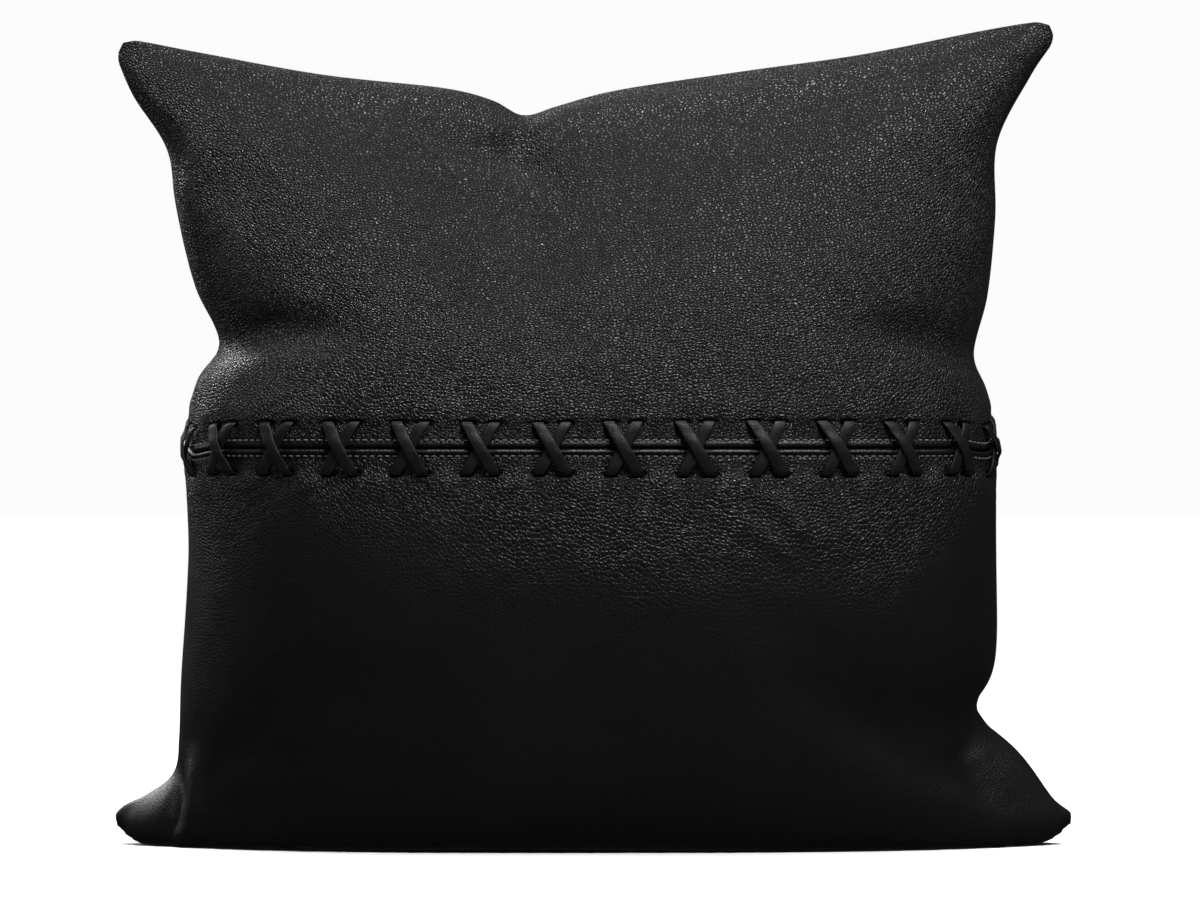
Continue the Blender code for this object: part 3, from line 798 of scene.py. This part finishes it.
def thread_material():
    n = Nodes("thread_look")
    place = n.add("ShaderNodeTexCoord").outputs["Object"]
    twist = n.add("ShaderNodeTexWave", {"Vector": place, "Scale": 900.0, "Distortion": 1.0})
    # The thread is painted lighter grey than black thread, as painted highlight, so that the
    # stitches show as bright dashes.
    colour = n.mix(twist.outputs[1], grey(0.03), grey(0.10))
    return n.finish(Base_Color=colour, Roughness=0.45, Normal=n.bump(twist.outputs[1], 0.0001))


def metal_material():
    n = Nodes("zip_metal_look")
    place = n.add("ShaderNodeTexCoord").outputs["Object"]
    wear = n.noise(place, 420.0, 4.0, 0.6).outputs[0]
    scratch = n.noise(n.vector("MULTIPLY", place, (1.0, 8.0, 8.0)), 300.0, 2.0).outputs[0]
    colour = n.mix(wear, grey(0.045), grey(0.105, 0.002))
    return n.finish(
        Base_Color=colour,
        Metallic=1.0,
        Roughness=n.spread(scratch, 0.3, 0.7, 0.24, 0.40),
        Normal=n.bump(scratch, 0.00004),
    )


def nylon_material():
    n = Nodes("zip_nylon_look")
    place = n.add("ShaderNodeTexCoord").outputs["Object"]
    speck = n.noise(place, 1500.0, 2.0).outputs[0]
    colour = n.mix(speck, grey(0.012), grey(0.024))
    return n.finish(Base_Color=colour, Roughness=n.spread(speck, 0.3, 0.7, 0.30, 0.42))


def fill_material():
    n = Nodes("feather_look")
    place = n.add("ShaderNodeTexCoord").outputs["Object"]
    tuft = n.noise(place, 90.0, 4.0, 0.7).outputs[0]
    colour = n.mix(tuft, (0.70, 0.67, 0.61, 1), (0.93, 0.92, 0.88, 1))
    return n.finish(Base_Color=colour, Roughness=0.95, Normal=n.bump(tuft, 0.003))


# Zip

CHAIN_Z = 0.0086
TOOTH_PITCH = 0.0020
TEETH_END = 0.1895
TOOTH_HALF = 0.00058
TOOTH_TALL = 0.0010
TAPE_NEAR = 0.0031
TAPE_FAR = 0.0146
ZIP_STITCH_ROW = 0.0100


def zip_teeth(name, side, material):
    """One row of moulded teeth, half a pitch off the other row."""
    tubes = []
    count = int(2 * TEETH_END / TOOTH_PITCH) // 2 * 2
    offset = 0.25 if side > 0 else -0.25
    angles = (np.arange(8) + 0.5) * math.pi / 4
    for k in range(count):
        x = (k - (count - 1) / 2 + offset) * TOOTH_PITCH
        rings = []
        for y, size in ((0.0007, 0.55), (0.0009, 0.9), (0.0013, 1.0), (0.0024, 0.9), (0.0029, 0.7)):
            wide, tall = TOOTH_HALF * size, TOOTH_TALL * size
            ring = [
                (x + wide * math.cos(a), side * y, CHAIN_Z + tall * math.sin(a) * side)
                for a in angles
            ]
            rings.append(ring)
        tubes.append(np.array(rings))
    return link(tube_mesh(name, tubes), name, material)


def zip_tape(name, side, material):
    """One woven tape, from beside the teeth to under the leather."""
    xs = np.linspace(-ZIP_HALF, ZIP_HALF, 180)
    ys = np.linspace(TAPE_NEAR, TAPE_FAR, 10)
    x, y = np.meshgrid(xs, ys)
    z = CHAIN_Z + 0.0003 + 0.00008 * np.sin(x * 260) * smooth(0.006, 0.014, y)
    mesh = grid_mesh(name, np.stack([x, side * y, z], -1), side < 0)
    obj = link(mesh, name, material)
    shell = obj.modifiers.new("thickness", "SOLIDIFY")
    shell.thickness = 0.0006
    shell.offset = -1
    apply_modifiers(obj)
    return obj


def zip_stitching(side, material, name):
    """The row of stitches that holds one tape to the leather."""
    tubes = []
    count = int(2 * (ZIP_HALF - 0.004) / STITCH_PITCH)
    for k in range(count):
        x0 = (k - (count - 1) / 2) * STITCH_PITCH
        rings = []
        for share in (-1.0, -0.8, 0.0, 0.8, 1.0):
            angles = np.arange(6) * math.pi / 3
            z0 = RECESS_DEPTH - 0.0001 + 0.0005 * share**4
            ring = [
                (
                    x0 + share * STITCH_PITCH * 0.36,
                    side * (ZIP_STITCH_ROW + THREAD * math.cos(a)),
                    z0 - THREAD * math.sin(a) * side,
                )
                for a in angles
            ]
            rings.append(ring)
        tubes.append(np.array(rings))
    return link(tube_mesh(name, tubes), name, material)


# Build

front_grid, back_grid = fill_cover()
front_panel = Panel(level_seam(even_out(settle(front_grid))), -1)
back_panel = Panel(even_out(settle(back_grid)), 1)

# The first two values are the pebble valley and top colours: the darker valleys are painted shade,
# and the lighter tops are wear.
LEATHER_FRONT = leather_material("leather_front_look", 0.0012, 0.0036, 0.20, 0.20, 1.0, 0.25)
LEATHER_BACK = leather_material("leather_back_look", 0.0020, 0.0045, 0.24, 0.60, 0.9, 1.0)
LACE = lace_material()
THREAD_LOOK = thread_material()
METAL = metal_material()
NYLON = nylon_material()
TAPE = woven_material("zip_tape_look", grey(0.008), grey(0.022), 1400.0, 0.85)
TICKING = woven_material("ticking_look", (0.66, 0.63, 0.57, 1), (0.84, 0.82, 0.77, 1), 900.0, 0.9)

across = edge_values(-HALF) + edge_values(HALF)
us = lines(across, 0.0026)
seam_steps = [0.0002, 0.0005, 0.0009, 0.0014, 0.0020, 0.0028, 0.0036, 0.0043, 0.0050, 0.0060]
slit_steps = [0.0112, 0.0125, 0.0131, 0.01375, 0.0144, 0.0150, 0.0160, 0.0172]
upper_vs = lines(seam_steps + slit_steps + edge_values(HALF), 0.0026)
lower_vs = lines([-d for d in seam_steps + slit_steps] + edge_values(-HALF), 0.0026)
back_us = lines(across, 0.0032)


def front_relief(u, v, point):
    return seam_relief(u, v) + slit_relief(u, v) + ripple_relief(u, v) + fold_relief(point)


def back_relief(u, v, point):
    return np.zeros_like(u)


upper = leather_piece("cover_front_upper", front_panel, us, upper_vs, LEATHER_FRONT, front_relief)
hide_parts("front_upper_panel")
lower = leather_piece("cover_front_lower", front_panel, us, lower_vs, LEATHER_FRONT, front_relief)
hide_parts("front_lower_panel")
back = leather_piece("cover_back", back_panel, back_us, back_us, LEATHER_BACK, back_relief)
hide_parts("back_panel")

for name, row in (("topstitch_upper", STITCH_ROW), ("topstitch_lower", -STITCH_ROW)):
    obj = link(tube_mesh(name, topstitching(front_panel, row)), name, THREAD_LOOK)

for name, over in (("lace_under_strap", False), ("lace_over_strap", True)):
    obj = link(tube_mesh(name, [lace_rings(front_panel, over)]), name, LACE)
    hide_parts("lace_over" if over else "lace_under")

insert = closed_cushion("insert_ticking", front_panel, back_panel, 0.014, 0.0070, TICKING)
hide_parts("insert_front_ticking", "insert_back_ticking")
core = closed_cushion("feather_core", front_panel, back_panel, 0.022, 0.0095, fill_material())
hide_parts("feather_fill")

for side, label in ((-1, "front"), (1, "back")):
    teeth = zip_teeth("zip_coil_" + label, side, NYLON)
    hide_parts("zip_teeth_" + label)
    tape = zip_tape("zip_woven_tape_" + label, side, TAPE)
    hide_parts("zip_tape_" + label)
    sewn = zip_stitching(side, THREAD_LOOK, "zip_stitching_" + label)

ZIP_ENDS = ["zip_open_stop", "zip_closed_stop_front", "zip_closed_stop_back"]
for name in ["zip_slider", "zip_pull", *ZIP_ENDS]:
    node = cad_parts[name]
    node.data.materials.clear()
    node.data.materials.append(METAL)

# Stage, light and camera


FLOOR_HALF = 14.0
FLOOR_Z = -0.0004
SCALE_AT_SEAM = 0.000511
CAMERA_DISTANCE = 2.7
CAMERA_X = 0.0030
CAMERA_Z = 0.2010


def add_stage():
    """A plain pale floor. It isn't mirrored in the leather, which would turn grey with it."""
    n = Nodes("studio_floor_look")
    place = n.add("ShaderNodeTexCoord").outputs["Object"]
    tone = n.noise(place, 1.2, 1.0).outputs[0]
    mesh = bpy.data.meshes.new("studio_floor")
    corners = [(-1, -1), (1, -1), (1, 1), (-1, 1)]
    points = [(x * FLOOR_HALF, y * FLOOR_HALF, FLOOR_Z) for x, y in corners]
    mesh.from_pydata(points, [], [(0, 1, 2, 3)])
    floor = bpy.data.objects.new("studio_floor", mesh)
    bpy.context.scene.collection.objects.link(floor)
    mesh.materials.append(
        n.finish(
            Base_Color=n.mix(tone, grey(0.84), grey(0.86)),
            Roughness=0.9,
            Specular_IOR_Level=0.05,
        )
    )
    floor.visible_glossy = False


def add_top_light(strength, width):
    """An even soft light from straight above, so that the floor is pale everywhere."""
    light = bpy.data.lights.new("top", "SUN")
    light.energy = strength
    light.angle = math.radians(width)
    obj = bpy.data.objects.new("top", light)
    obj.location = (0.0, 0.0, 4.0)
    bpy.context.scene.collection.objects.link(obj)


def add_light(name, place, aim, size, power, spread=180):
    light = bpy.data.lights.new(name, "AREA")
    light.shape = "RECTANGLE"
    light.size, light.size_y = size
    light.energy = power
    light.spread = math.radians(spread)
    obj = bpy.data.objects.new(name, light)
    obj.location = place
    way = Vector(aim) - Vector(place)
    obj.rotation_euler = way.to_track_quat("-Z", "Y").to_euler()
    bpy.context.scene.collection.objects.link(obj)


def add_camera():
    """Level with the middle of the pillow, framed as the 1200 x 900 photograph."""
    camera = bpy.data.cameras.new("camera")
    camera.sensor_width = 36.0
    camera.lens = CAMERA_DISTANCE * 36.0 / (1200 * SCALE_AT_SEAM)
    obj = bpy.data.objects.new("camera", camera)
    obj.location = (CAMERA_X, -CAMERA_DISTANCE, CAMERA_Z)
    obj.rotation_euler = (math.pi / 2, 0.0, 0.0)
    bpy.context.scene.collection.objects.link(obj)
    bpy.context.scene.camera = obj


def add_world(seen, given):
    """A pale studio that is seen brighter than the light it gives."""
    world = bpy.data.worlds.new("studio")
    world.use_nodes = True
    tree = world.node_tree
    background = tree.nodes["Background"]
    background.inputs[0].default_value = grey(1.0)
    ray = tree.nodes.new("ShaderNodeLightPath")
    strength = tree.nodes.new("ShaderNodeMapRange")
    strength.inputs[3].default_value = given
    strength.inputs[4].default_value = seen
    tree.links.new(ray.outputs["Is Camera Ray"], strength.inputs[0])
    tree.links.new(strength.outputs[0], background.inputs[1])
    bpy.context.scene.world = world


add_stage()
add_world(0.97, 0.035)
add_top_light(3.7, 14)
add_light("key", (0.62, -1.10, 1.74), (0.02, 0.0, 0.24), (0.9, 0.7), 7.5, 60)
add_light("back_fill", (-1.3, 1.7, 1.5), (0.0, 0.0, 0.22), (0.9, 0.7), 9.0, 90)
add_light("left_fill", (-1.8, 0.7, 1.0), (0.0, 0.0, 0.22), (0.8, 0.8), 2.0, 90)
add_camera()
bpy.context.scene.view_settings.view_transform = "Standard"
